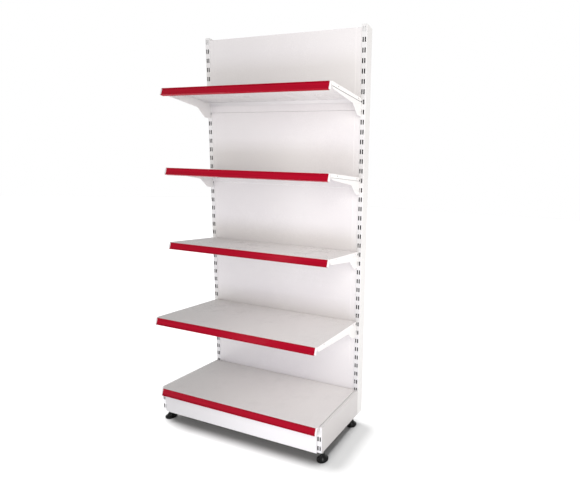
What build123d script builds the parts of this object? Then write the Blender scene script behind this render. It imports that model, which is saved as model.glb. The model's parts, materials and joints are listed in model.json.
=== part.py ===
"""Single-sided gondola shelving bay: slotted uprights, clip-in back panels, shelves on hook-in brackets.

Millimetres, +Z up, front towards -Y. The origin is on the floor, under the middle of the bay.
One STEP file per piece is written to parts/.
"""
import os
from math import hypot

from build123d import *

# --- Bay and uprights -------------------------------------------------------------------------
bay_pitch = 1000.0  # between the centre lines of the two uprights
upright_width = 30.0
upright_depth = 60.0
upright_wall = 2.0
upright_foot_end = 42.0  # underside of the tube above the floor
upright_top_margin = 20.0  # from the highest slot's centre to the tube's top
cap_thickness = 3.0
cap_plug_depth = 31.0  # closes the highest slots from behind
cap_plug_clearance = 0.3

# --- Slots ------------------------------------------------------------------------------------
slot_pitch = 50.0
slot_height = 24.0
slot_width = 7.0
slot_corner = 0.8
slot_column_spacing = 12.0  # between the two slot columns of one upright
slot_rows = 42
lowest_slot_height = 100.0  # centre of the lowest slot above the floor
hook_play = 3.0  # what the neck and tail together leave free of a slot's height
hook_tail_shorter = 1.0  # the tail is this much shorter than the neck is tall
hook_tail_depth = 3.0
hook_clearance = 0.3
tab_clearance = 0.6  # all round a panel or rail tab in its slot
tab_reach = 3.0  # how far a tab shows inside the tube

# --- Back panels and cross rails --------------------------------------------------------------
panel_rows = 5
panel_slots = 8  # slot rows per panel
panel_top_inset = 10.0  # from the tubes' top to the top panel's edge
panel_gap = 1.0
panel_sheet = 0.8
panel_side_clearance = 0.5
panel_side_depth = 25.0
panel_side_hem = 12.0
panel_border = 28.0  # flat border beside each upright, set back a little
panel_border_setback = 1.0
panel_border_slope = 3.0
panel_edge_fold = 15.0
panel_bend = 1.2
panel_tab_height = 18.0
panel_tab_depth = 12.0  # behind the uprights' front face
panel_tab_inset = 80.0  # from the panel's top and bottom edges
rail_sheet = 1.5
rail_height = 40.0
rail_depth = 15.0
rail_gap = 5.0  # behind the panels' side folds
rail_tab_height = 24.0
bottom_rail_height = 90.0  # underside of the lower rail above the floor
top_rail_inset = 70.0  # underside of the upper rail below the tubes' top

# --- Shelves ----------------------------------------------------------------------------------
shelf_rows = 4
upper_shelf_depth = 300.0
lowest_shelf_depth = 400.0
lowest_shelf_slot = 10  # slot row of the lowest shelf's upper hooks
shelf_slots = 8  # slot rows from one shelf to the next
shelf_end_clearance = 2.0  # from a shelf's end to the bay line
shelf_sheet = 1.0
shelf_bend = 2.0
shelf_side_depth = 18.0
shelf_side_setback = 10.0  # from the shelf's rear to the start of its side folds
shelf_back_gap = 2.0
shelf_rear_fold = 18.0
shelf_hole = 6.0
shelf_hole_drop = 8.0
shelf_rear_hole_inset = 40.0
shelf_front_hole_inset = 60.0
lip_height = 36.0
lip_lean = 10.0  # how far the lip's lower edge stands forward of its upper edge
lip_hem = 8.0
stiffener_sheet = 0.8
stiffener_width = 34.0
stiffener_drop = 14.0
stiffener_flange = 10.0
stiffener_end_inset = 12.0
stiffener_bend = 1.5

# --- Brackets ---------------------------------------------------------------------------------
bracket_plate = 2.5
bracket_front_inset = 12.0  # from the shelf's nose
bracket_front_height = 28.0
bracket_arm_height = 44.0  # just ahead of the flare
bracket_below_slot = 12.0  # plate below the lower hook's slot
bracket_hole = 7.0
bracket_flare_start = 92.0  # ahead of the uprights
bracket_flare_end = 44.0
bracket_flare_radius = 22.0
bracket_nose_radius = 12.0
bracket_top_slot_drop = 16.0  # from the shelf's top face to the centre of the upper hook's slot

# --- Price strips -----------------------------------------------------------------------------
strip_end_inset = 10.0  # from the shelf's end
strip_wall = 1.2
strip_gap = 0.15
strip_top_inset = 2.2
strip_lip_reach = 4.0
strip_lip_height = 4.0
strip_hook_height = 3.0

# --- Base -------------------------------------------------------------------------------------
deck_height = 200.0
deck_depth = 392.0
leg_wall = 2.0
leg_nose_setback = 12.0  # leg's front face behind the deck's nose
leg_rim_width = 14.0  # strip of the leg's top beside the deck
leg_rim_drop = 1.0  # below the deck's top face
leg_front_underside = 60.0
leg_rear_underside = 46.0
leg_back_gap = 0.3
leg_hook_rows = 2
leg_slot_rows = 2
leg_slot_drop = 16.0  # below the uprights' slot rows
foot_plate_height = 62.0  # underside of the plates that carry the foot screws
foot_plate_thickness = 4.0
foot_plate_length = 44.0
foot_front_inset = 32.0  # from the leg's front face to the foot's centre
foot_rear_inset = 40.0  # from the uprights' front face to the foot's centre
foot_pad_diameter = 58.0
foot_pad_rim = 8.0
foot_pad_height = 38.0
foot_pad_neck = 18.0
foot_pad_hollow = 3.5  # how far the flank curves in from a straight cone
foot_screw_diameter = 12.0
foot_screw_clearance = 0.3
foot_screw_seat = 10.0  # depth of the screw in the pad
foot_screw_top = 104.0
foot_nut_width = 19.0
foot_nut_height = 10.0
kick_sheet = 1.0
kick_bend = 1.5
kick_leg_gap = 3.0
kick_leg_overlap = 4.0
kick_underside = 55.0
kick_top_gap = 28.0  # below the deck's top face
kick_hem = 12.0
kick_end_fold = 30.0
kick_fold_below_pin = 8.0
kick_fold_above_pin = 40.0
kick_fold_gap = 0.3
kick_hem_end_gap = 5.0
pin_diameter = 6.0
pin_clearance = 0.1
pin_height = 120.0
pin_head_diameter = 10.0
pin_head_thickness = 1.5
pin_shank = 4.0
pin_inset = 18.0  # behind the leg's front face

# --- Worked out from the sizes above ----------------------------------------------------------
half_bay = bay_pitch / 2
upright_top_end = lowest_slot_height + (slot_rows - 1) * slot_pitch + upright_top_margin
hook_neck_height = (slot_height - hook_play + hook_tail_shorter) / 2
hook_tail_drop = hook_neck_height - hook_tail_shorter
panel_pitch = panel_slots * slot_pitch
lowest_panel_edge = upright_top_end - panel_top_inset - panel_rows * panel_pitch
rail_setback = panel_side_depth + rail_gap
top_rail_height = upright_top_end - top_rail_inset
bracket_rear_height = bracket_top_slot_drop + slot_pitch + slot_height / 2 + bracket_below_slot
tube_inner_x = half_bay - upright_width / 2
shelf_half = half_bay - shelf_end_clearance
lip_length = hypot(lip_height, lip_lean)
lip_cos = lip_height / lip_length
lip_sin = lip_lean / lip_length
strip_outer = strip_gap + strip_lip_reach
strip_bottom = lip_length + strip_gap + strip_wall
strip_reach = strip_outer * lip_cos + strip_bottom * lip_sin
front_reach = max(upper_shelf_depth, lowest_shelf_depth, deck_depth) + strip_reach
wall_y = (front_reach - upright_depth) / 2  # front face of the uprights
leg_width = upright_width
leg_reach = deck_depth - leg_nose_setback
leg_top = deck_height - leg_rim_drop
leg_ledge = deck_height - shelf_side_depth
kick_top = deck_height - kick_top_gap
hook_column_x = half_bay - slot_column_spacing / 2  # inner slot column

os.makedirs("parts", exist_ok=True)


def ahead(distance):
    """Y of a place the given distance in front of the uprights."""
    return wall_y - distance


def block(x_range, y_range, z_range):
    """A box between the given limits."""
    spans = [(min(r), max(r)) for r in (x_range, y_range, z_range)]
    centre = [(low + high) / 2 for low, high in spans]
    return Pos(*centre) * Box(*[high - low for low, high in spans])


def folded_sheet(points, thickness, bend, side=Side.LEFT):
    """Section of a folded sheet whose one face follows the points."""
    path = FilletPolyline(*points, radius=bend).wire()
    return Face(path.offset_2d(thickness, side=side, closed=True))


def along_x(section, length):
    """A section drawn in Y and Z, extruded to both sides of the bay's middle."""
    return extrude(Plane.YZ * section, amount=length / 2, both=True)


def plate_at(section, x_centre, thickness):
    """A flat plate drawn in Y and Z, centred on x_centre."""
    return Pos(x_centre, 0, 0) * extrude(Plane.YZ * section, amount=thickness / 2, both=True)


def on_both_sides(piece):
    """A piece and its mirror image in the bay's middle plane."""
    return piece, mirror(piece, about=Plane.YZ)


def slot_centre(row):
    """Height of a slot row; row 0 is the lowest."""
    return lowest_slot_height + row * slot_pitch


def hook_section(slot_height_centre):
    """Neck and drop tail of one hook seated on the lower edge of its slot, in Y and Z."""
    seat = slot_height_centre - slot_height / 2
    wall_back = wall_y + upright_wall + hook_clearance
    neck = (ahead(1.0), wall_back + hook_tail_depth)
    tail = (wall_back, wall_back + hook_tail_depth)
    chamfer = hook_tail_depth / 2
    return make_face(Polyline(
        (neck[0], seat),
        (tail[0], seat),
        (tail[0], seat - hook_tail_drop),
        (tail[1] - chamfer, seat - hook_tail_drop),
        (tail[1], seat - hook_tail_drop + chamfer),
        (tail[1], seat + hook_neck_height),
        (neck[0], seat + hook_neck_height),
        close=True,
    ))


def slot_cutters(y_front, heights):
    """Cutters of the right-hand slot columns, through one sheet wall behind y_front."""
    shape = RectangleRounded(slot_width, slot_height, slot_corner)
    plane = Plane.XZ.offset(-y_front + 1)
    centres = [
        (half_bay + side * slot_column_spacing / 2, height)
        for height in heights
        for side in (-1, 1)
    ]
    return [extrude(plane * Pos(x, z) * shape, amount=-(upright_wall + 2)) for x, z in centres]


# --- Uprights -----------------------------------------------------------------------------------
def panel_bottom(row):
    """Lower edge of a back panel; row 0 is the lowest."""
    return lowest_panel_edge + row * panel_pitch


panel_height = panel_pitch - panel_gap
panel_tab_heights = [
    panel_bottom(row) + offset
    for row in range(panel_rows)
    for offset in (panel_tab_inset, panel_height - panel_tab_inset)
]
panel_tab_y = wall_y + panel_tab_depth
rail_tab_heights = [height + rail_height / 2 for height in (bottom_rail_height, top_rail_height)]
rail_y = wall_y + rail_setback


def tab_slot(y_front, thickness, height, z_centre):
    """Cutter for a tab slot in the inner side wall of the right-hand upright."""
    return block(
        (tube_inner_x - 1, tube_inner_x + upright_wall + 1),
        (y_front - tab_clearance, y_front + thickness + tab_clearance),
        (z_centre - height / 2 - tab_clearance, z_centre + height / 2 + tab_clearance),
    )


def make_upright():
    """Right-hand upright: tube with two columns of slots and side slots for panels and rails."""
    outer = block(
        (tube_inner_x, tube_inner_x + upright_width),
        (wall_y, wall_y + upright_depth),
        (upright_foot_end, upright_top_end),
    )
    corners = outer.edges().filter_by(Axis.Z)
    outer = fillet(corners, upright_wall)
    bore = block(
        (tube_inner_x + upright_wall, tube_inner_x + upright_width - upright_wall),
        (wall_y + upright_wall, wall_y + upright_depth - upright_wall),
        (upright_foot_end - 1, upright_top_end + 1),
    )
    cutters = slot_cutters(wall_y, [slot_centre(row) for row in range(slot_rows)])
    cutters += [
        tab_slot(panel_tab_y, panel_sheet, panel_tab_height, z) for z in panel_tab_heights
    ]
    cutters += [tab_slot(rail_y, rail_sheet, rail_tab_height, z) for z in rail_tab_heights]
    return outer - bore - cutters


def make_cap():
    """Plastic cap that plugs the top of the right-hand upright."""
    plug_inset = upright_wall + cap_plug_clearance
    lid = block(
        (tube_inner_x, tube_inner_x + upright_width),
        (wall_y, wall_y + upright_depth),
        (upright_top_end, upright_top_end + cap_thickness),
    )
    lid = fillet(lid.edges().filter_by(Axis.Z), upright_wall)
    lid = chamfer(lid.faces().sort_by(Axis.Z)[-1].edges(), 1.0)
    plug = block(
        (tube_inner_x + plug_inset, tube_inner_x + upright_width - plug_inset),
        (wall_y + plug_inset, wall_y + upright_depth - plug_inset),
        (upright_top_end - cap_plug_depth, upright_top_end),
    )
    return lid + plug


# --- Back panels --------------------------------------------------------------------------------
def make_panel(row):
    """One back panel: folded sheet with set-back borders, side folds and locating tabs."""
    edge = tube_inner_x - panel_side_clearance
    back = wall_y + panel_side_depth
    border_y = wall_y + panel_border_setback
    right_half = [
        (edge - panel_side_hem, back),
        (edge, back),
        (edge, border_y),
        (edge - panel_border, border_y),
        (edge - panel_border - panel_border_slope, wall_y),
    ]
    left_half = [(-x, y) for x, y in reversed(right_half)]
    section = folded_sheet(right_half + left_half, panel_sheet, panel_bend, Side.RIGHT)
    bottom = panel_bottom(row)
    top = bottom + panel_height
    panel = extrude(Pos(0, 0, bottom) * section, amount=panel_height, dir=(0, 0, 1))
    inner_x = edge - panel_border - panel_border_slope
    for low in (bottom, top - panel_sheet):
        panel += block(
            (-inner_x, inner_x),
            (wall_y + panel_sheet / 2, wall_y + panel_edge_fold),
            (low, low + panel_sheet),
        )
    for z in panel_tab_heights[2 * row:2 * row + 2]:
        for side in (-1, 1):
            panel += block(
                (side * (edge - panel_sheet / 2), side * (tube_inner_x + upright_wall + tab_reach)),
                (panel_tab_y, panel_tab_y + panel_sheet),
                (z - panel_tab_height / 2, z + panel_tab_height / 2),
            )
    return panel


def make_rail(bottom):
    """Cross rail between the uprights, a channel open to the rear, with a tab at each end."""
    section = folded_sheet(
        [
            (rail_y + rail_depth, bottom),
            (rail_y, bottom),
            (rail_y, bottom + rail_height),
            (rail_y + rail_depth, bottom + rail_height),
        ],
        rail_sheet, panel_bend + rail_sheet, Side.RIGHT,
    )
    end = tube_inner_x - panel_side_clearance
    rail = along_x(section, 2 * end)
    middle = bottom + rail_height / 2
    for side in (-1, 1):
        rail += block(
            (side * (end - 1), side * (tube_inner_x + upright_wall + tab_reach)),
            (rail_y, rail_y + rail_sheet),
            (middle - rail_tab_height / 2, middle + rail_tab_height / 2),
        )
    return rail


# --- Shelves ------------------------------------------------------------------------------------
def tray_section(depth, top):
    """Section of a shelf or deck: rear fold, top, forward-leaning lip and its hem."""
    nose = (ahead(depth), top)
    foot = (nose[0] - lip_lean, top - lip_height)
    hem_end = (foot[0] + lip_hem * lip_cos, foot[1] - lip_hem * lip_sin)
    back = ahead(shelf_back_gap)
    points = [(back, top - shelf_rear_fold), (back, top), nose, foot, hem_end]
    return folded_sheet(points, shelf_sheet, shelf_bend)


def make_plain_tray(depth, top):
    """Folded sheet with a side fold at each end: the base deck, and the start of every shelf."""
    tray = along_x(tray_section(depth, top), 2 * shelf_half)
    for side in (-1, 1):
        tray += block(
            (side * (shelf_half - shelf_sheet), side * shelf_half),
            (ahead(shelf_back_gap + shelf_side_setback), ahead(depth - shelf_bend)),
            (top - shelf_side_depth, top - shelf_sheet / 2),
        )
    return tray


def joining_holes(depth, top, x_centre, diameter):
    """Cutters of the two joining holes near one end of a shelf."""
    bore = Cylinder(diameter / 2, 4 * bracket_plate, rotation=(0, 90, 0))
    places = (ahead(shelf_rear_hole_inset), ahead(depth - shelf_front_hole_inset))
    return [Pos(x_centre, y, top - shelf_hole_drop) * bore for y in places]


def make_shelf_tray(depth, top):
    """Shelf tray with drilled side folds, its rear fold notched for the brackets."""
    tray = make_plain_tray(depth, top)
    notch_x = hook_column_x - bracket_plate
    for side in (-1, 1):
        tray -= block(
            (side * notch_x, side * (shelf_half + 1)),
            (ahead(shelf_back_gap - 1), ahead(shelf_back_gap + shelf_bend + shelf_sheet)),
            (top - shelf_rear_fold - 1, top - shelf_sheet),
        )
        tray -= joining_holes(depth, top, side * shelf_half, shelf_hole)
    return tray


def make_stiffener(depth, top, half_length):
    """Hat section spot-welded under the deck, along its middle."""
    under = top - shelf_sheet
    middle = ahead(depth / 2)
    crown = stiffener_width / 2
    rim = crown + stiffener_flange
    section = folded_sheet(
        [
            (middle - rim, under),
            (middle - crown, under),
            (middle - crown + 2, under - stiffener_drop),
            (middle + crown - 2, under - stiffener_drop),
            (middle + crown, under),
            (middle + rim, under),
        ],
        stiffener_sheet, stiffener_bend, Side.RIGHT,
    )
    return along_x(section, 2 * half_length)


def make_strip(depth, top):
    """Price strip extrusion, clipped over the lip's lower hem, with a label channel in front."""
    plane = Plane(
        origin=(0, ahead(depth), top),
        x_dir=(0, -lip_cos, lip_sin),
        z_dir=(1, 0, 0),
    )
    inner = strip_gap
    face = inner + strip_wall
    spans = [
        ((inner, face), (strip_top_inset, strip_bottom)),
        ((inner, strip_outer), (strip_top_inset, strip_top_inset + strip_wall)),
        ((strip_outer - strip_wall, strip_outer), (strip_top_inset, strip_top_inset + strip_lip_height)),
        ((-lip_hem - strip_gap, strip_outer), (strip_bottom - strip_wall, strip_bottom)),
        ((strip_outer - strip_wall, strip_outer), (strip_bottom - strip_lip_height, strip_bottom)),
        (
            (-lip_hem - strip_gap - strip_wall, -lip_hem - strip_gap),
            (strip_bottom - strip_wall - strip_hook_height, strip_bottom),
        ),
    ]
    section = Sketch()
    for (x0, x1), (y0, y1) in spans:
        section += Pos((x0 + x1) / 2, (y0 + y1) / 2) * Rectangle(x1 - x0, y1 - y0)
    return extrude(plane * section, amount=shelf_half - strip_end_inset, both=True)


def make_bracket(depth, top):
    """Right-hand shelf bracket: flared plate with two hooks in the inner slot column."""
    under = top - shelf_sheet
    back = ahead(hook_clearance)
    front = ahead(depth - bracket_front_inset)
    flare_start = ahead(bracket_flare_start)
    flare_end = ahead(bracket_flare_end)
    outline = make_face(Polyline(
        (back, under),
        (front, under),
        (front, top - bracket_front_height),
        (flare_start, top - bracket_arm_height),
        (flare_end, top - bracket_rear_height),
        (back, top - bracket_rear_height),
        close=True,
    ))
    corners = [
        ((front, top - bracket_front_height), bracket_nose_radius),
        ((flare_start, top - bracket_arm_height), bracket_flare_radius),
        ((flare_end, top - bracket_rear_height), bracket_flare_radius),
    ]
    for (y, z), radius in corners:
        corner = min(outline.vertices(), key=lambda v: hypot(v.X - y, v.Y - z))
        outline = fillet(corner, radius)
    upper_slot = top - bracket_top_slot_drop
    for slot in (upper_slot, upper_slot - slot_pitch):
        outline += hook_section(slot)
    bracket = plate_at(outline, hook_column_x, bracket_plate)
    return bracket - joining_holes(depth, top, hook_column_x, bracket_hole)


# --- Base ---------------------------------------------------------------------------------------
foot_positions = (ahead(leg_reach - foot_front_inset), ahead(foot_rear_inset))


def make_leg():
    """Right-hand base leg: tapered box, open below, with a ledge for the deck and rear hooks."""
    back = ahead(leg_back_gap)
    front = ahead(leg_reach)

    def side_outline(inset, drop):
        return make_face(Polyline(
            (back - inset, leg_rear_underside - drop),
            (back - inset, leg_top - inset),
            (front + inset, leg_top - inset),
            (front + inset, leg_front_underside - drop),
            close=True,
        ))

    leg = plate_at(side_outline(0, 0), half_bay, leg_width)
    leg -= plate_at(side_outline(leg_wall, 2 * leg_wall), half_bay, leg_width - 2 * leg_wall)
    leg -= slot_cutters(front, [slot_centre(row) - leg_slot_drop for row in range(leg_slot_rows)])
    inner_face = half_bay - leg_width / 2
    rim_x = half_bay + leg_width / 2 - leg_rim_width
    length = (front, back)
    leg -= block((inner_face - 1, rim_x), (front - 1, back + 1), (leg_ledge, leg_top + 1))
    leg += block((inner_face, rim_x + leg_wall), length, (leg_ledge - leg_wall, leg_ledge))
    leg += block((rim_x, rim_x + leg_wall), length, (leg_ledge - leg_wall, leg_top))
    for y in foot_positions:
        plate = block(
            (half_bay - leg_width / 2 + leg_wall / 2, half_bay + leg_width / 2 - leg_wall / 2),
            (y - foot_plate_length / 2, y + foot_plate_length / 2),
            (foot_plate_height, foot_plate_height + foot_plate_thickness),
        )
        leg += plate
        leg -= Pos(half_bay, y, foot_plate_height) * Cylinder(
            foot_screw_diameter / 2 + foot_screw_clearance, 4 * foot_plate_thickness
        )
    for row in range(leg_hook_rows):
        for side in (-1, 1):
            x = half_bay + side * slot_column_spacing / 2
            leg += plate_at(hook_section(slot_centre(row)), x, bracket_plate)
    pin_y = front + pin_inset
    shank = Cylinder(pin_diameter / 2, pin_shank + leg_wall / 2, rotation=(0, 90, 0))
    head = Cylinder(pin_head_diameter / 2, pin_head_thickness, rotation=(0, 90, 0))
    leg += Pos(inner_face - pin_shank / 2 + leg_wall / 4, pin_y, pin_height) * shank
    leg += Pos(inner_face - pin_shank - pin_head_thickness / 2, pin_y, pin_height) * head
    return leg


def make_foot_pad(y):
    """Right-hand levelling foot: a bell of hard rubber on a rim, bored for its screw."""
    radius = foot_pad_diameter / 2
    neck = foot_pad_neck / 2
    rise = foot_pad_height - foot_pad_rim
    flank = hypot(radius - neck, rise)
    waist = (
        (radius + neck) / 2 - foot_pad_hollow * rise / flank,
        (foot_pad_rim + foot_pad_height) / 2 - foot_pad_hollow * (radius - neck) / flank,
    )
    lower = Polyline(
        (neck, foot_pad_height), (0, foot_pad_height), (0, 0), (radius - 2, 0), (radius, 2),
        (radius, foot_pad_rim),
    )
    upper = ThreePointArc((radius, foot_pad_rim), waist, (neck, foot_pad_height))
    pad = revolve(Plane.XZ * make_face([lower, upper]), Axis.Z)
    seat = foot_pad_height - foot_screw_seat
    pad -= Pos(0, 0, seat + foot_screw_seat / 2) * Cylinder(foot_screw_diameter / 2, foot_screw_seat)
    return Pos(half_bay, y, 0) * pad


def make_foot_screw(y):
    """Right-hand foot screw, seated in its pad."""
    bottom = foot_pad_height - foot_screw_seat
    length = foot_screw_top - bottom
    screw = Cylinder(foot_screw_diameter / 2, length, align=(Align.CENTER, Align.CENTER, Align.MIN))
    screw = chamfer(screw.edges().sort_by(Axis.Z)[-1], 1.0)
    return Pos(half_bay, y, bottom) * screw


def make_foot_nut(y):
    """Right-hand weld nut on the plate inside a leg."""
    hexagon = RegularPolygon(foot_nut_width / 2, 6, major_radius=False, rotation=30)
    nut = extrude(hexagon, amount=foot_nut_height)
    nut -= Cylinder(foot_screw_diameter / 2 + foot_screw_clearance, 3 * foot_nut_height)
    return Pos(half_bay, y, foot_plate_height + foot_plate_thickness) * nut


def make_kick_plate():
    """Kick plate: hemmed sheet with an end fold at each side that drops on the legs' pins."""
    front = ahead(leg_reach + kick_leg_gap + kick_sheet)
    inner_face = half_bay - leg_width / 2
    half_length = inner_face + kick_leg_overlap
    section = folded_sheet(
        [
            (front + kick_hem, kick_top),
            (front, kick_top),
            (front, kick_underside),
            (front + kick_hem, kick_underside),
        ],
        kick_sheet, kick_bend, Side.LEFT,
    )
    kick = along_x(section, 2 * half_length)
    slot = pin_diameter / 2 + pin_clearance
    pin_y = ahead(leg_reach) + pin_inset
    fold_outer = inner_face - kick_fold_gap
    for side in (-1, 1):
        kick -= block(
            (side * (inner_face - kick_hem_end_gap), side * (half_length + 1)),
            (front + kick_sheet, front + kick_hem + 1),
            (kick_underside - 1, kick_top + 1),
        )
        kick += block(
            (side * (fold_outer - kick_sheet), side * fold_outer),
            (front + kick_sheet / 2, front + kick_end_fold),
            (pin_height - kick_fold_below_pin, pin_height + kick_fold_above_pin),
        )
        centre_x = side * (fold_outer - kick_sheet / 2)
        kick -= Pos(centre_x, pin_y, pin_height) * Cylinder(slot, 4 * kick_sheet, rotation=(0, 90, 0))
        kick -= block(
            (centre_x - 2 * kick_sheet, centre_x + 2 * kick_sheet),
            (pin_y - slot, pin_y + slot),
            (pin_height - kick_fold_below_pin - 1, pin_height),
        )
    return kick


# --- All pieces -----------------------------------------------------------------------------------
def shelf_pieces(number):
    """Tray, price strip and brackets of one shelf; number 1 is the top shelf."""
    depth = lowest_shelf_depth if number == shelf_rows else upper_shelf_depth
    slot_row = lowest_shelf_slot + (shelf_rows - number) * shelf_slots
    top = slot_centre(slot_row) + bracket_top_slot_drop
    right, left = on_both_sides(make_bracket(depth, top))
    return {
        f"shelf_tray_{number}": make_shelf_tray(depth, top),
        f"price_strip_{number}": make_strip(depth, top),
        f"bracket_right_{number}": right,
        f"bracket_left_{number}": left,
    }


def foot_pieces():
    """The four levelling feet: pads, screws and the group of weld nuts."""
    made = {}
    nuts = []
    for end, y in zip(("front", "rear"), foot_positions):
        for name, piece in (("foot_pad", make_foot_pad(y)), ("foot_screw", make_foot_screw(y))):
            made[f"{name}_{end}_right"], made[f"{name}_{end}_left"] = on_both_sides(piece)
        nuts += on_both_sides(make_foot_nut(y))
    made["foot_weld_nuts"] = Compound(children=nuts)
    return made


pieces = {}
right_hand_pieces = {"upright": make_upright(), "upright_cap": make_cap(), "base_leg": make_leg()}
for base_name, right_piece in right_hand_pieces.items():
    pieces[f"{base_name}_right"], pieces[f"{base_name}_left"] = on_both_sides(right_piece)
for panel_row in range(panel_rows):
    pieces[f"back_panel_{panel_rows - panel_row}"] = make_panel(panel_row)
pieces["cross_rail_bottom"] = make_rail(bottom_rail_height)
pieces["cross_rail_top"] = make_rail(top_rail_height)
for shelf_number in range(1, shelf_rows + 1):
    pieces.update(shelf_pieces(shelf_number))
pieces["base_deck"] = make_plain_tray(deck_depth, deck_height)
pieces["base_deck_stiffener"] = make_stiffener(
    deck_depth, deck_height, tube_inner_x - stiffener_end_inset
)
pieces["base_price_strip"] = make_strip(deck_depth, deck_height)
pieces["kick_plate"] = make_kick_plate()
pieces.update(foot_pieces())

for node, piece in pieces.items():
    export_step(piece, os.path.join("parts", f"{node}.step"))
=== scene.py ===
"""Looks of a single-sided gondola shelving bay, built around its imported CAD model. Metres."""
from __future__ import annotations

import json
import logging
import math
from dataclasses import dataclass, field
from enum import Enum

import bpy
from mathutils import Matrix, Vector

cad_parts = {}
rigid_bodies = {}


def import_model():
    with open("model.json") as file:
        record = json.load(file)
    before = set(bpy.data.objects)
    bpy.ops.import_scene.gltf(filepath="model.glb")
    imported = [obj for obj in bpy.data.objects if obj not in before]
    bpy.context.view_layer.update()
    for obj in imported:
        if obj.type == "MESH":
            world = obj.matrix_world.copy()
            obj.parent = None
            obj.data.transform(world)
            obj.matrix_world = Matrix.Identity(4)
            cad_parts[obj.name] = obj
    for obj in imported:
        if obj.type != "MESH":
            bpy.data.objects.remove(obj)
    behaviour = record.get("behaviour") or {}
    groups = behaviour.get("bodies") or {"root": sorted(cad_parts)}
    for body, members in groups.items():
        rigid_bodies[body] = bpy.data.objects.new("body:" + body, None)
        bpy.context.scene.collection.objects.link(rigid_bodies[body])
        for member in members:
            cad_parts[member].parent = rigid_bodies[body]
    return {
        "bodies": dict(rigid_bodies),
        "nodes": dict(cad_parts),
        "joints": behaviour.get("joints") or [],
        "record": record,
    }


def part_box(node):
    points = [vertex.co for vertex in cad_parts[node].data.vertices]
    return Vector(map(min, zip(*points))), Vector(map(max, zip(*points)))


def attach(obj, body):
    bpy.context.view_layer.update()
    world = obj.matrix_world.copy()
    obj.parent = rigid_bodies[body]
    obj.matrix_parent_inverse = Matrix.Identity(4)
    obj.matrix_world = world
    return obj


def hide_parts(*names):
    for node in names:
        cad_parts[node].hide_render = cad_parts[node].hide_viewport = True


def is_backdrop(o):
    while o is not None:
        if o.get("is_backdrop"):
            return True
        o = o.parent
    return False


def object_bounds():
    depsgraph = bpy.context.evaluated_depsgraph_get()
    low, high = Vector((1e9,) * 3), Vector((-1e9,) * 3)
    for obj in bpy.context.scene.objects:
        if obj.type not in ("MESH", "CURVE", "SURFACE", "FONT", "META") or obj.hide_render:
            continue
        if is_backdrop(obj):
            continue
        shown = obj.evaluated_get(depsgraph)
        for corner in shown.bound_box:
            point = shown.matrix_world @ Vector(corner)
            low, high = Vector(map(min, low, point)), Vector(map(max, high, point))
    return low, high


LOG = logging.getLogger("gondola")
SENSOR_WIDTH = 36.0

HALF_BAY = 0.5
TUBE_WIDTH = 0.03
PAINT_SKIN = 0.0006
LEDGE_TOP = 0.0165
LEDGE_BOTTOM = 0.0195
LEG_SIDE_SKIN = 0.0003
SEAM_TOP = 0.012
SEAM_BOTTOM = 0.0192
BRACKET_FACE = 0.0018
BRACKET_SEAM_END = 0.0035
HOLE_MIDDLE = 0.008
HOLE_HALF_HEIGHT = 0.0055
HOLE_HALF_WIDTH = 0.009
REAR_HOLE = 0.04
FRONT_HOLE = 0.06
LIP_DEPTH = 0.0167
CORNERS = ("front_left", "front_right", "rear_left", "rear_right")


class Coat(Enum):
    """The named finishes, one for each material slot of the record."""

    UPRIGHT = "upright_coating"
    PANEL = "panel_coating"
    RAIL = "rail_coating"
    SHELF = "shelf_coating"
    BRACKET = "bracket_coating"
    LEG = "leg_coating"
    KICK = "kick_coating"
    STRIP = "price_strip_pvc"
    CAP = "cap_plastic"
    FOOT = "foot_rubber"
    ZINC = "zinc_steel"


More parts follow.
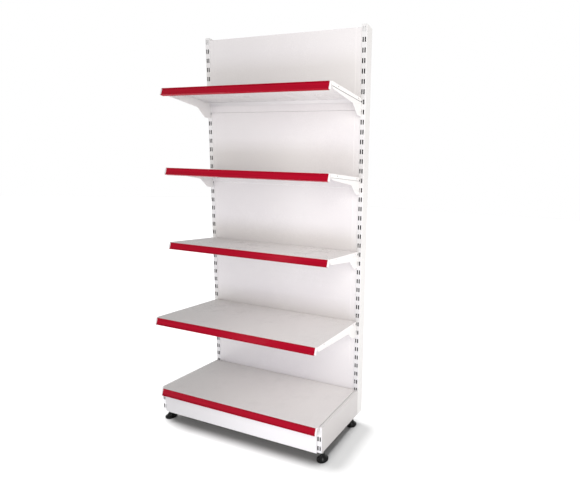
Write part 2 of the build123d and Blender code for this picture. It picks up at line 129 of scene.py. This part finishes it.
class Graph:
    """Short words for building a material's nodes."""

    def __init__(self, material: bpy.types.Material) -> None:
        """Clears the material and gives it a surface shader.

        Args:
            material: The material to build in.
        """
        material.use_nodes = True
        self.tree = material.node_tree
        self.tree.nodes.clear()
        self.shader = self.node("ShaderNodeBsdfPrincipled")
        out = self.node("ShaderNodeOutputMaterial")
        self.tree.links.new(self.shader.outputs[0], out.inputs["Surface"])
        self.place = self.node("ShaderNodeTexCoord").outputs["Object"]

    def node(self, kind: str, **values: object) -> bpy.types.Node:
        """Adds a node and sets its properties.

        Args:
            kind: Blender's name of the node type.
            **values: Properties of the node.

        Returns:
            The new node.
        """
        made = self.tree.nodes.new(kind)
        for name, value in values.items():
            setattr(made, name, value)
        return made

    def join(self, source: object, target: object) -> None:
        """Links a socket, or sets a plain value, on an input.

        Args:
            source: An output socket, a number or a colour.
            target: The input socket.
        """
        if isinstance(source, bpy.types.NodeSocket):
            self.tree.links.new(source, target)
        else:
            target.default_value = source

    def stretch(self, scale: tuple[float, float, float]) -> bpy.types.NodeSocket:
        """The object coordinates, scaled by axis.

        Args:
            scale: Factors along X, Y and Z.

        Returns:
            The scaled coordinates.
        """
        made = self.node("ShaderNodeMapping")
        self.join(self.place, made.inputs["Vector"])
        made.inputs["Scale"].default_value = scale
        return made.outputs[0]

    def noise(self, scale: float, detail: float = 3.0, rough: float = 0.5,
              where: bpy.types.NodeSocket | None = None) -> bpy.types.NodeSocket:
        """Cloudy noise from 0 to 1.

        Args:
            scale: Cells per metre.
            detail: Number of finer layers.
            rough: Strength of the finer layers.
            where: Coordinates to use in place of the object's own.

        Returns:
            The noise value.
        """
        made = self.node("ShaderNodeTexNoise")
        self.join(where or self.place, made.inputs["Vector"])
        made.inputs["Scale"].default_value = scale
        made.inputs["Detail"].default_value = detail
        made.inputs["Roughness"].default_value = rough
        return made.outputs["Fac"]

    def spread(self, value: bpy.types.NodeSocket, low: float, high: float,
               to_low: float = 0.0, to_high: float = 1.0) -> bpy.types.NodeSocket:
        """Remaps a value to another range, clamped and smooth.

        Args:
            value: The value to remap.
            low: Value that becomes to_low.
            high: Value that becomes to_high.
            to_low: New value at low.
            to_high: New value at high.

        Returns:
            The remapped value.
        """
        made = self.node("ShaderNodeMapRange", interpolation_type="SMOOTHSTEP")
        self.join(value, made.inputs["Value"])
        for name, number in zip(("From Min", "From Max", "To Min", "To Max"),
                                (low, high, to_low, to_high)):
            made.inputs[name].default_value = number
        return made.outputs["Result"]

    def math(self, operation: str, first: object, second: object = 0.0) -> bpy.types.NodeSocket:
        """One sum on two values.

        Args:
            operation: Blender's name of the sum.
            first: First value or socket.
            second: Second value or socket.

        Returns:
            The result.
        """
        made = self.node("ShaderNodeMath", operation=operation)
        self.join(first, made.inputs[0])
        self.join(second, made.inputs[1])
        return made.outputs[0]

    def mix(self, factor: object, first: object, second: object) -> bpy.types.NodeSocket:
        """A blend of two colours.

        Args:
            factor: 0 gives the first colour and 1 the second.
            first: First colour or socket.
            second: Second colour or socket.

        Returns:
            The blended colour.
        """
        made = self.node("ShaderNodeMix", data_type="RGBA")
        self.join(factor, made.inputs[0])
        self.join(first, made.inputs[6])
        self.join(second, made.inputs[7])
        return made.outputs[2]

    def relief(self, height: bpy.types.NodeSocket, depth: float,
               under: bpy.types.NodeSocket | None = None) -> bpy.types.NodeSocket:
        """A bumped normal.

        Args:
            height: Height from 0 to 1.
            depth: Depth in metres that the height stands for.
            under: Normal to bump on top of.

        Returns:
            The new normal.
        """
        made = self.node("ShaderNodeBump")
        made.inputs["Distance"].default_value = depth
        self.join(height, made.inputs["Height"])
        if under is not None:
            self.join(under, made.inputs["Normal"])
        return made.outputs[0]

    def part_of(self, axis: str) -> bpy.types.NodeSocket:
        """One coordinate of the object.

        Args:
            axis: "X", "Y" or "Z".

        Returns:
            The coordinate in metres.
        """
        made = self.node("ShaderNodeSeparateXYZ")
        self.join(self.place, made.inputs[0])
        return made.outputs[axis]

    def facing(self, axis: str) -> bpy.types.NodeSocket:
        """How far a face looks along one axis.

        Args:
            axis: "X", "Y" or "Z".

        Returns:
            1 for a face that looks along the axis and -1 for one that looks against it.
        """
        made = self.node("ShaderNodeSeparateXYZ")
        self.join(self.node("ShaderNodeNewGeometry").outputs["Normal"], made.inputs[0])
        return made.outputs[axis]

    def near(self, value: bpy.types.NodeSocket, middle: float,
             reach: float) -> bpy.types.NodeSocket:
        """1 where a value is within reach of a middle value, and 0 elsewhere.

        Args:
            value: The value to test.
            middle: Middle of the range.
            reach: Half the range.

        Returns:
            The mask.
        """
        made = self.node("ShaderNodeMath", operation="COMPARE")
        self.join(value, made.inputs[0])
        made.inputs[1].default_value = middle
        made.inputs[2].default_value = reach
        return made.outputs[0]

    def rounded(self, radius: float) -> bpy.types.NodeSocket:
        """A normal that rounds sharp edges.

        Args:
            radius: Radius in metres.

        Returns:
            The rounded normal.
        """
        made = self.node("ShaderNodeBevel", samples=4)
        made.inputs["Radius"].default_value = radius
        return made.outputs[0]


Colour = tuple[float, float, float, float]


@dataclass(frozen=True)
class Patch:
    """A box, the same at both ends of the bay, in which a coat has another colour.

    Attributes:
        low: Lowest corner, with X as the distance from the bay's middle.
        high: Highest corner.
        colour: The colour inside.
    """

    low: tuple[float, float, float]
    high: tuple[float, float, float]
    colour: Colour

    def over(self, g: Graph, paint: bpy.types.NodeSocket) -> bpy.types.NodeSocket:
        """Lays the patch over a paint colour.

        Args:
            g: The material's graph.
            paint: The colour outside the box.

        Returns:
            The patched colour.
        """
        places = (g.math("ABSOLUTE", g.part_of("X")), g.part_of("Y"), g.part_of("Z"))
        masks = [g.near(place, (low + high) / 2, (high - low) / 2)
                 for place, low, high in zip(places, self.low, self.high)]
        inside = g.math("MULTIPLY", g.math("MULTIPLY", masks[0], masks[1]), masks[2])
        return g.mix(inside, paint, self.colour)


@dataclass(frozen=True)
class PowderCoat:
    """Stoved powder paint on steel sheet.

    Attributes:
        colour: Main colour.
        tint: Colour of the slow variation over the sheet.
        grime: Colour of handling marks.
        gloss: Mean roughness.
        peel: Depth of the orange peel, in metres.
        marks: How much of the surface carries handling marks, 0 to 1.
        streak: Scale of the marks along X, Y and Z.
        patches: Places with another colour, such as painted shade inside a tube.
        wave: Scale of the sheet's slow waves along X, Y and Z.
        wave_depth: Depth of those waves, in metres.
        left_shade: How much painted shade darkens the coat towards the left end of the bay, 0 to 1.
        below: How much painted shade darkens faces that look down, 0 to 1.
    """

    colour: Colour
    tint: Colour
    grime: Colour
    gloss: float = 0.42
    peel: float = 0.00004
    marks: float = 0.25
    streak: tuple[float, float, float] = (1.0, 1.0, 1.0)
    patches: tuple[Patch, ...] = ()
    wave: tuple[float, float, float] = (1.0, 1.0, 1.0)
    wave_depth: float = 0.0004
    left_shade: float = 0.0
    below: float = 0.0

    def dress(self, material: bpy.types.Material) -> None:
        """Builds the finish in a material.

        Args:
            material: The material to build in.
        """
        g = Graph(material)
        slow = g.spread(g.noise(1.7, 2.0), 0.3, 0.7)
        base = g.mix(slow, self.colour, self.tint)
        smudge = g.noise(9.0, 6.0, 0.62, g.stretch(self.streak))
        worn = g.spread(smudge, 0.72 - 0.3 * self.marks, 0.9, 0.0, 0.45)
        paint = g.mix(worn, base, self.grime)
        # Painted shade: the coat darkens towards the left end of the bay.
        if self.left_shade:
            left = g.spread(g.part_of("X"), -HALF_BAY, 0.7 * HALF_BAY, self.left_shade, 0.0)
            paint = g.mix(left, paint, PAINTED_SHADE)
        # Painted shade: faces that look down are darker.
        if self.below:
            down = g.spread(g.facing("Z"), -0.9, -0.5, self.below, 0.0)
            paint = g.mix(down, paint, PAINTED_SHADE)
        # Patches lay painted shade over the paint.
        for patch in self.patches:
            paint = patch.over(g, paint)
        g.join(paint, g.shader.inputs["Base Color"])
        fine = g.noise(420.0, 2.0, 0.55)
        g.join(g.spread(g.math("ADD", fine, smudge), 0.6, 1.4, self.gloss - 0.07, self.gloss + 0.1),
               g.shader.inputs["Roughness"])
        rounded = g.rounded(0.0006)
        peel = g.relief(g.noise(900.0, 2.0), self.peel, rounded)
        wave = g.noise(6.0, 1.0, where=g.stretch(self.wave))
        g.join(g.relief(wave, self.wave_depth, peel), g.shader.inputs["Normal"])
        g.shader.inputs["Coat Weight"].default_value = 0.12
        g.shader.inputs["Coat Roughness"].default_value = 0.2


@dataclass(frozen=True)
class Extrusion:
    """Glossy coloured plastic, drawn along X.

    Attributes:
        colour: Main colour.
        deep: Colour of the darker draw lines.
        gloss: Mean roughness.
    """

    colour: Colour
    deep: Colour
    gloss: float = 0.12

    def dress(self, material: bpy.types.Material) -> None:
        """Builds the finish in a material.

        Args:
            material: The material to build in.
        """
        g = Graph(material)
        lines = g.noise(180.0, 3.0, 0.6, g.stretch((0.01, 1.0, 1.0)))
        cloud = g.noise(5.0, 3.0)
        base = g.mix(g.spread(lines, 0.35, 0.65), self.deep, self.colour)
        dust = g.spread(g.noise(60.0, 6.0, 0.7), 0.66, 0.8, 0.0, 0.03)
        g.join(g.mix(dust, base, (0.6, 0.42, 0.4, 1.0)), g.shader.inputs["Base Color"])
        g.join(g.spread(cloud, 0.3, 0.7, self.gloss, self.gloss + 0.07),
               g.shader.inputs["Roughness"])
        g.join(g.relief(lines, 0.00003, g.rounded(0.0005)), g.shader.inputs["Normal"])
        g.shader.inputs["Specular IOR Level"].default_value = 0.06


@dataclass(frozen=True)
class Moulding:
    """Moulded plastic or hard rubber with dust near the floor.

    Attributes:
        colour: Main colour.
        dust: Colour of settled dust.
        gloss: Mean roughness.
        dust_height: Height to which floor dust reaches, in metres; 0 for none.
        grain: Depth of the mould grain, in metres.
        shine: Strength of the reflections.
    """

    colour: Colour
    dust: Colour
    gloss: float = 0.55
    dust_height: float = 0.0
    grain: float = 0.00008
    shine: float = 0.5

    def dress(self, material: bpy.types.Material) -> None:
        """Builds the finish in a material.

        Args:
            material: The material to build in.
        """
        g = Graph(material)
        speck = g.spread(g.noise(140.0, 6.0, 0.7), 0.5, 0.8, 0.0, 0.25)
        if self.dust_height:
            low = g.spread(g.part_of("Z"), 0.0, self.dust_height, 0.5, 0.0)
            speck = g.math("MULTIPLY", g.math("ADD", speck, low), g.noise(35.0, 4.0, 0.65))
        g.join(g.mix(speck, self.colour, self.dust), g.shader.inputs["Base Color"])
        g.join(g.spread(g.noise(80.0, 3.0), 0.3, 0.7, self.gloss - 0.1, self.gloss + 0.12),
               g.shader.inputs["Roughness"])
        g.join(g.relief(g.noise(1200.0, 2.0), self.grain, g.rounded(0.0008)),
               g.shader.inputs["Normal"])
        g.shader.inputs["Specular IOR Level"].default_value = self.shine


@dataclass(frozen=True)
class ZincPlate:
    """Bright zinc plating on turned or rolled steel.

    Attributes:
        colour: Main colour.
        stain: Colour of the passivated patches.
    """

    colour: Colour = (0.62, 0.62, 0.6, 1.0)
    stain: Colour = (0.42, 0.44, 0.42, 1.0)

    def dress(self, material: bpy.types.Material) -> None:
        """Builds the finish in a material.

        Args:
            material: The material to build in.
        """
        g = Graph(material)
        patch = g.noise(70.0, 4.0, 0.6)
        g.join(g.mix(g.spread(patch, 0.4, 0.7), self.colour, self.stain),
               g.shader.inputs["Base Color"])
        g.join(g.spread(patch, 0.3, 0.7, 0.24, 0.45), g.shader.inputs["Roughness"])
        g.join(g.relief(g.noise(700.0, 2.0), 0.00003, g.rounded(0.0004)),
               g.shader.inputs["Normal"])
        g.shader.inputs["Metallic"].default_value = 1.0


WHITE: Colour = (0.80, 0.782, 0.765, 1.0)
WARM: Colour = (0.78, 0.755, 0.74, 1.0)
POST_WHITE: Colour = (0.73, 0.71, 0.695, 1.0)
POST_WARM: Colour = (0.71, 0.685, 0.67, 1.0)
PANEL_WHITE: Colour = (0.765, 0.728, 0.71, 1.0)
PANEL_WARM: Colour = (0.74, 0.70, 0.69, 1.0)
SHELF_WHITE: Colour = (0.84, 0.808, 0.79, 1.0)
SHELF_WARM: Colour = (0.815, 0.78, 0.765, 1.0)
SOIL: Colour = (0.50, 0.48, 0.45, 1.0)
# Painted shade on the legs' outer side faces.
PAINTED_SIDE_SHADE: Colour = (0.57, 0.54, 0.53, 1.0)
# Painted shade laid over the coats at the bay's left end and on downward faces.
PAINTED_SHADE: Colour = (0.40, 0.385, 0.38, 1.0)
# Near-black painted shade inside the tubes and legs and round the bracket holes.
PAINTED_DEEP_SHADE: Colour = (0.006, 0.006, 0.006, 1.0)
# Painted shade along the bracket joints.
JOINT_SHADE: Colour = (0.05, 0.05, 0.05, 1.0)


def tube_patch() -> Patch:
    """Painted shade: near-black inside the uprights, just behind the painted skin, so the slots
    read dark.

    Returns:
        The patch.
    """
    low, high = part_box("upright_right")
    return Patch((low[0] + PAINT_SKIN, low[1] + PAINT_SKIN, low[2] - 0.01),
                 (high[0] - PAINT_SKIN, high[1] - PAINT_SKIN, high[2] + 0.01), PAINTED_DEEP_SHADE)


def leg_patches() -> tuple[Patch, ...]:
    """Painted shade inside the base legs, beside the deck's end and on the legs' outer sides.

    Returns:
        The patches.
    """
    tube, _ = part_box("upright_right")
    low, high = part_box("base_leg_right")
    left, front, top = tube[0] + PAINT_SKIN, low[1] + PAINT_SKIN, high[2]
    outer = tube[0] + TUBE_WIDTH
    # Painted shade: near-black inside the leg and on the rim's inner face beside the deck's end.
    inside = Patch((left, front, 0.0), (outer - PAINT_SKIN, tube[1], top - LEDGE_BOTTOM),
                   PAINTED_DEEP_SHADE)
    rim = Patch((left, front, top - LEDGE_TOP), (outer - PAINT_SKIN, tube[1], top - PAINT_SKIN),
                PAINTED_DEEP_SHADE)
    # Painted shade: the legs' outer side faces are greyer than their fronts.
    side = Patch((outer - LEG_SIDE_SKIN, front, 0.0), (outer + 0.001, tube[1], top + PAINT_SKIN),
                 PAINTED_SIDE_SHADE)
    return inside, rim, side


def bracket_patches() -> tuple[Patch, ...]:
    """Painted shade in the joints between the brackets and the shelves' side folds, and round the
    fixing holes.

    Returns:
        The patches.
    """
    made = []
    for number in range(1, 5):
        low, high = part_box(f"shelf_tray_{number}")
        side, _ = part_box(f"bracket_right_{number}")
        wall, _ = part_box("upright_right")
        top, near, far = high[2], side[0] + BRACKET_FACE, side[0] + BRACKET_SEAM_END
        # Painted shade band just below the shelf's side fold.
        made.append(Patch((near, low[1], top - SEAM_BOTTOM), (far, wall[1], top - SEAM_TOP),
                          JOINT_SHADE))
        # Painted shade spots round the two fixing holes.
        z = top - HOLE_MIDDLE
        for y in (wall[1] - REAR_HOLE, low[1] + LIP_DEPTH + FRONT_HOLE):
            made.append(Patch((near, y - HOLE_HALF_WIDTH, z - HOLE_HALF_HEIGHT),
                              (far, y + HOLE_HALF_WIDTH, z + HOLE_HALF_HEIGHT), PAINTED_DEEP_SHADE))
    return tuple(made)


def finishes() -> dict[Coat, object]:
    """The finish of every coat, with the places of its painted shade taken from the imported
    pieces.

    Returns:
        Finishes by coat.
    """
    # Several coats carry painted shade: towards the left end on the panels, shelves and kick plate,
    # on the shelves' undersides, inside the tubes and legs, on the legs' outer sides and at the
    # bracket joints.
    return {
        Coat.UPRIGHT: PowderCoat(POST_WHITE, POST_WARM, SOIL, marks=0.2, streak=(1.0, 1.0, 0.3),
                                 patches=(tube_patch(),)),
        Coat.PANEL: PowderCoat(PANEL_WHITE, PANEL_WARM, SOIL, gloss=0.22, marks=0.1,
                               streak=(0.5, 1.0, 0.5), wave=(0.3, 1.0, 6.0), wave_depth=0.0007,
                               left_shade=0.12),
        Coat.RAIL: PowderCoat(WARM, WHITE, SOIL, marks=0.3, streak=(0.3, 1.0, 1.0)),
        Coat.SHELF: PowderCoat(SHELF_WHITE, SHELF_WARM, SOIL, gloss=0.3, marks=0.2,
                               streak=(0.6, 0.6, 1.0), left_shade=0.45, below=0.22),
        Coat.BRACKET: PowderCoat(WHITE, WARM, SOIL, marks=0.25, patches=bracket_patches()),
        Coat.LEG: PowderCoat(WHITE, WARM, SOIL, marks=0.35, patches=leg_patches()),
        Coat.KICK: PowderCoat(WHITE, WARM, SOIL, marks=0.3, streak=(0.4, 1.0, 1.0), left_shade=0.6),
        Coat.STRIP: Extrusion((0.38, 0.002, 0.017, 1.0), (0.31, 0.001, 0.013, 1.0)),
        Coat.CAP: Moulding((0.74, 0.73, 0.71, 1.0), SOIL),
        Coat.FOOT: Moulding((0.003, 0.003, 0.003, 1.0), (0.012, 0.012, 0.012, 1.0), 0.3, 0.012,
                            shine=0.25),
        Coat.ZINC: ZincPlate(),
    }


@dataclass
class FootScrew:
    """Threaded levelling screw of one foot, in place of the plain one.

    Attributes:
        corner: Which foot it belongs to, such as "front_left".
        pitch: Rise of the thread in one turn.
        depth: Depth of the thread.
        sides: Points round the screw.
        rings: Rings of points in one turn.
        chamfer: Height and depth of the bevel at the top.
    """

    corner: str
    pitch: float = 0.00175
    depth: float = 0.0010
    sides: int = 20
    rings: int = 6
    chamfer: float = 0.0012

    def radius(self, full: float, turn: float, below_top: float) -> float:
        """Radius of the screw's skin at one point.

        Args:
            full: Radius over the thread's crests.
            turn: Turns of the thread up to this point.
            below_top: Distance below the screw's top.

        Returns:
            The radius.
        """
        wave = abs(2.0 * (turn % 1.0) - 1.0)
        groove = min(1.0, max(0.0, 1.35 * wave - 0.15)) * self.depth
        bevel = max(0.0, self.chamfer - below_top)
        return full - max(groove, bevel)

    def build(self, material: bpy.types.Material) -> bpy.types.Object:
        """Makes the screw and puts it on its foot.

        Args:
            material: The finish of the steel.

        Returns:
            The screw.
        """
        low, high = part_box(f"foot_screw_{self.corner}")
        x, y = (low[0] + high[0]) / 2, (low[1] + high[1]) / 2
        full, step = (high[0] - low[0]) / 2, self.pitch / self.rings
        rows = int((high[2] - low[2]) / step)
        points, faces = [], []
        for row in range(rows + 1):
            z = low[2] + (high[2] - low[2]) * row / rows
            for side in range(self.sides):
                angle = 2.0 * math.pi * side / self.sides
                turn = (z - low[2]) / self.pitch - side / self.sides
                r = self.radius(full, turn, high[2] - z)
                points.append((x + r * math.cos(angle), y + r * math.sin(angle), z))
        for row in range(rows):
            for side in range(self.sides):
                a, b = row * self.sides + side, row * self.sides + (side + 1) % self.sides
                faces.append((a, b, b + self.sides, a + self.sides))
        faces.append(tuple(reversed(range(self.sides))))
        faces.append(tuple(rows * self.sides + side for side in range(self.sides)))
        mesh = bpy.data.meshes.new(f"threaded_screw_{self.corner}")
        mesh.from_pydata(points, [], faces)
        mesh.shade_smooth()
        mesh.materials.append(material)
        obj = bpy.data.objects.new(mesh.name, mesh)
        bpy.context.collection.objects.link(obj)
        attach(obj, f"foot_{self.corner}")
        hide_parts(f"foot_screw_{self.corner}")
        LOG.info("%s: %d rings", obj.name, rows + 1)
        return obj


@dataclass
class Finisher:
    """Makes one material for each coat and puts it on the CAD pieces.

    Attributes:
        finishes: Finishes by coat.
        made: Materials by coat.
    """

    frame: dict
    finishes: dict[Coat, object]
    made: dict[Coat, bpy.types.Material] = field(default_factory=dict)

    def material(self, coat: Coat) -> bpy.types.Material:
        """The material of a coat, made on first use.

        Args:
            coat: The finish wanted.

        Returns:
            The material.
        """
        if coat not in self.made:
            material = bpy.data.materials.new(coat.value)
            self.finishes[coat].dress(material)
            self.made[coat] = material
        return self.made[coat]

    def coat_nodes(self) -> None:
        """Gives every CAD piece the material that its record slot names."""
        slots = {part["node"]: part["material_slot"] for part in self.frame["record"]["subparts"]}
        for name, obj in self.frame["nodes"].items():
            coat = Coat(slots[name])
            obj.data.materials.clear()
            obj.data.materials.append(self.material(coat))
            LOG.info("%s: %s", name, coat.value)


@dataclass(frozen=True)
class SoftBox:
    """A rectangular lamp that lights the unit and not the floor.

    Attributes:
        name: Name of the lamp.
        place: Position.
        size: Width and height.
        power: Power in watts.
        tint: Colour of the light.
        lights: Whether it lights matt surfaces.
        reflects: Whether it shows in reflections.
    """

    name: str
    place: tuple[float, float, float]
    size: tuple[float, float]
    power: float
    tint: tuple[float, float, float] = (1.0, 1.0, 1.0)
    lights: bool = True
    reflects: bool = True

    def build(self, target: Vector, receivers: bpy.types.Collection) -> None:
        """Makes the lamp.

        Args:
            target: The point it is aimed at.
            receivers: The pieces it lights.
        """
        data = bpy.data.lights.new(self.name, "AREA")
        data.shape = "RECTANGLE"
        data.size, data.size_y = self.size
        data.energy = self.power
        data.color = self.tint
        obj = bpy.data.objects.new(self.name, data)
        bpy.context.collection.objects.link(obj)
        obj.location = self.place
        obj.rotation_euler = (target - Vector(self.place)).to_track_quat("-Z", "Y").to_euler()
        obj.visible_diffuse, obj.visible_glossy = self.lights, self.reflects
        obj.light_linking.receiver_collection = receivers
        LOG.info("lamp %s: %.1f W", self.name, self.power)


@dataclass(frozen=True)
class FloorSun:
    """A broad light for the floor alone, which keeps it white round the shadow.

    Attributes:
        name: Name of the light.
        power: Strength of the light.
        spread: Angular width, in degrees.
        turn: Turn about X and Y from straight down, in degrees.
    """

    name: str
    power: float
    spread: float
    turn: tuple[float, float]

    def build(self, floor: bpy.types.Object, casters: list[bpy.types.Object]) -> None:
        """Makes the light.

        Args:
            floor: The floor it lights.
            casters: Pieces that cast its shadow.
        """
        data = bpy.data.lights.new(self.name, "SUN")
        data.energy = self.power
        data.angle = math.radians(self.spread)
        obj = bpy.data.objects.new(self.name, data)
        obj.rotation_euler = (math.radians(self.turn[0]), math.radians(self.turn[1]), 0.0)
        bpy.context.collection.objects.link(obj)
        obj.light_linking.receiver_collection = gathered(f"{self.name}_lights", [floor])
        obj.light_linking.blocker_collection = gathered(f"{self.name}_casters", casters)
        LOG.info("sun %s: %.1f", self.name, self.power)


FLOOR_SUNS = (
    FloorSun("behind", 3.4, 24.0, (0.0, 0.0)),
    FloorSun("behind_left", 4.8, 28.0, (-2.0, -36.0)),
)
SOFT_BOXES = (
    SoftBox("key", (1.6, -1.6, 1.9), (1.2, 1.2), 22.5),
    SoftBox("low", (0.3, -2.3, 0.3), (1.6, 0.6), 18.0, tint=(0.74, 0.79, 1.0), reflects=False),
    SoftBox("side", (2.4, 0.0, 0.9), (0.8, 1.6), 9.0, reflects=False),
    SoftBox("window", (-1.95, -2.85, 1.0), (0.3, 2.4), 6.0, lights=False),
)


def gathered(name: str, pieces: list[bpy.types.Object]) -> bpy.types.Collection:
    """Puts pieces in a collection of their own, for a light to refer to.

    Args:
        name: Name of the collection.
        pieces: The pieces.

    Returns:
        The collection.
    """
    made = bpy.data.collections.new(name)
    for piece in pieces:
        made.objects.link(piece)
    return made


@dataclass
class Studio:
    """Pale floor, soft lights and the camera.

    Attributes:
        low: Lowest corner of the object.
        high: Highest corner of the object.
        floor_span: Side of the square floor.
        azimuth: Camera direction round the object, in degrees.
        tilt: Downward tilt of the view, in degrees.
        roll: Turn of the camera about its own axis, in degrees.
        place: Camera position.
        lens: Focal length for the sensor width, in millimetres.
        shift: Sideways and upward shift, in frame widths.
        sky_strength: Brightness of the even light.
    """

    frame: dict
    low: Vector
    high: Vector
    floor_span: float = 60.0
    azimuth: float = 16.757
    tilt: float = 9.040
    roll: float = 2.982
    place: tuple[float, float, float] = (1.4072, -1.6439, 1.3334)
    lens: float = 22.906
    shift: tuple[float, float] = (-0.2263, 0.0196)
    sky_strength: float = 0.6

    def floor(self) -> bpy.types.Object:
        """A large pale floor under the feet.

        Returns:
            The floor.
        """
        half = self.floor_span / 2
        mesh = bpy.data.meshes.new("floor")
        z = self.low.z
        mesh.from_pydata(
            [(-half, -half, z), (half, -half, z), (half, half, z), (-half, half, z)], [],
            [(0, 1, 2, 3)])
        obj = bpy.data.objects.new("floor", mesh)
        bpy.context.collection.objects.link(obj)
        material = bpy.data.materials.new("studio_floor")
        g = Graph(material)
        g.shader.inputs["Base Color"].default_value = (0.42, 0.42, 0.42, 1.0)
        g.join(g.spread(g.noise(3.0, 4.0), 0.3, 0.7, 0.55, 0.65), g.shader.inputs["Roughness"])
        mesh.materials.append(material)
        obj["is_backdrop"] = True
        return obj

    def sky(self) -> None:
        """Even light from all round, in front of a white background."""
        world = bpy.data.worlds.new("studio")
        world.use_nodes = True
        nodes, links = world.node_tree.nodes, world.node_tree.links
        seen = nodes["Background"]
        seen.inputs["Strength"].default_value = 1.0
        seen.inputs["Color"].default_value = (1.0, 1.0, 1.0, 1.0)
        glow = nodes.new("ShaderNodeBackground")
        glow.inputs["Strength"].default_value = self.sky_strength
        glow.inputs["Color"].default_value = (1.0, 1.0, 1.0, 1.0)
        ray = nodes.new("ShaderNodeLightPath")
        both = nodes.new("ShaderNodeMixShader")
        links.new(ray.outputs["Is Camera Ray"], both.inputs[0])
        links.new(glow.outputs[0], both.inputs[1])
        links.new(seen.outputs[0], both.inputs[2])
        links.new(both.outputs[0], nodes["World Output"].inputs["Surface"])
        bpy.context.scene.world = world

    def light(self, floor: bpy.types.Object) -> None:
        """Even sky light, the floor's own lights and the unit's soft boxes.

        Args:
            floor: The floor.
        """
        bpy.context.scene.view_settings.view_transform = "Standard"
        self.sky()
        base = [piece for name, piece in self.frame["nodes"].items()
                if name.startswith(("base_", "kick_", "foot_"))]
        for sun in FLOOR_SUNS:
            sun.build(floor, base)
        unit = gathered("unit", [piece for piece in bpy.context.scene.objects
                                 if piece.type == "MESH" and piece != floor])
        for box in SOFT_BOXES:
            box.build((self.low + self.high) / 2, unit)

    def camera(self) -> bpy.types.Object:
        """The camera at the main viewing angle.

        Returns:
            The camera.
        """
        data = bpy.data.cameras.new("camera")
        data.sensor_fit = "HORIZONTAL"
        data.sensor_width = SENSOR_WIDTH
        data.lens = self.lens
        data.shift_x, data.shift_y = self.shift
        data.clip_end = 200.0
        obj = bpy.data.objects.new("camera", data)
        bpy.context.collection.objects.link(obj)
        turn = (Matrix.Rotation(math.radians(self.azimuth), 4, "Z")
                @ Matrix.Rotation(math.radians(90.0 - self.tilt), 4, "X")
                @ Matrix.Rotation(math.radians(self.roll), 4, "Z"))
        obj.matrix_world = Matrix.Translation(self.place) @ turn
        bpy.context.scene.camera = obj
        return obj

    def build(self) -> None:
        """Sets up the whole studio."""
        self.light(self.floor())
        self.camera()
        LOG.info("studio ready")


def main() -> None:
    """Loads the frame, dresses every piece and sets up the studio."""
    logging.basicConfig(level=logging.INFO, format="%(name)s: %(message)s")
    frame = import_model()
    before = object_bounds()
    finisher = Finisher(frame, finishes())
    finisher.coat_nodes()
    for corner in CORNERS:
        FootScrew(corner).build(finisher.material(Coat.ZINC))
    Studio(frame, Vector(before[0]), Vector(before[1])).build()


if __name__ == "__main__":
    main()
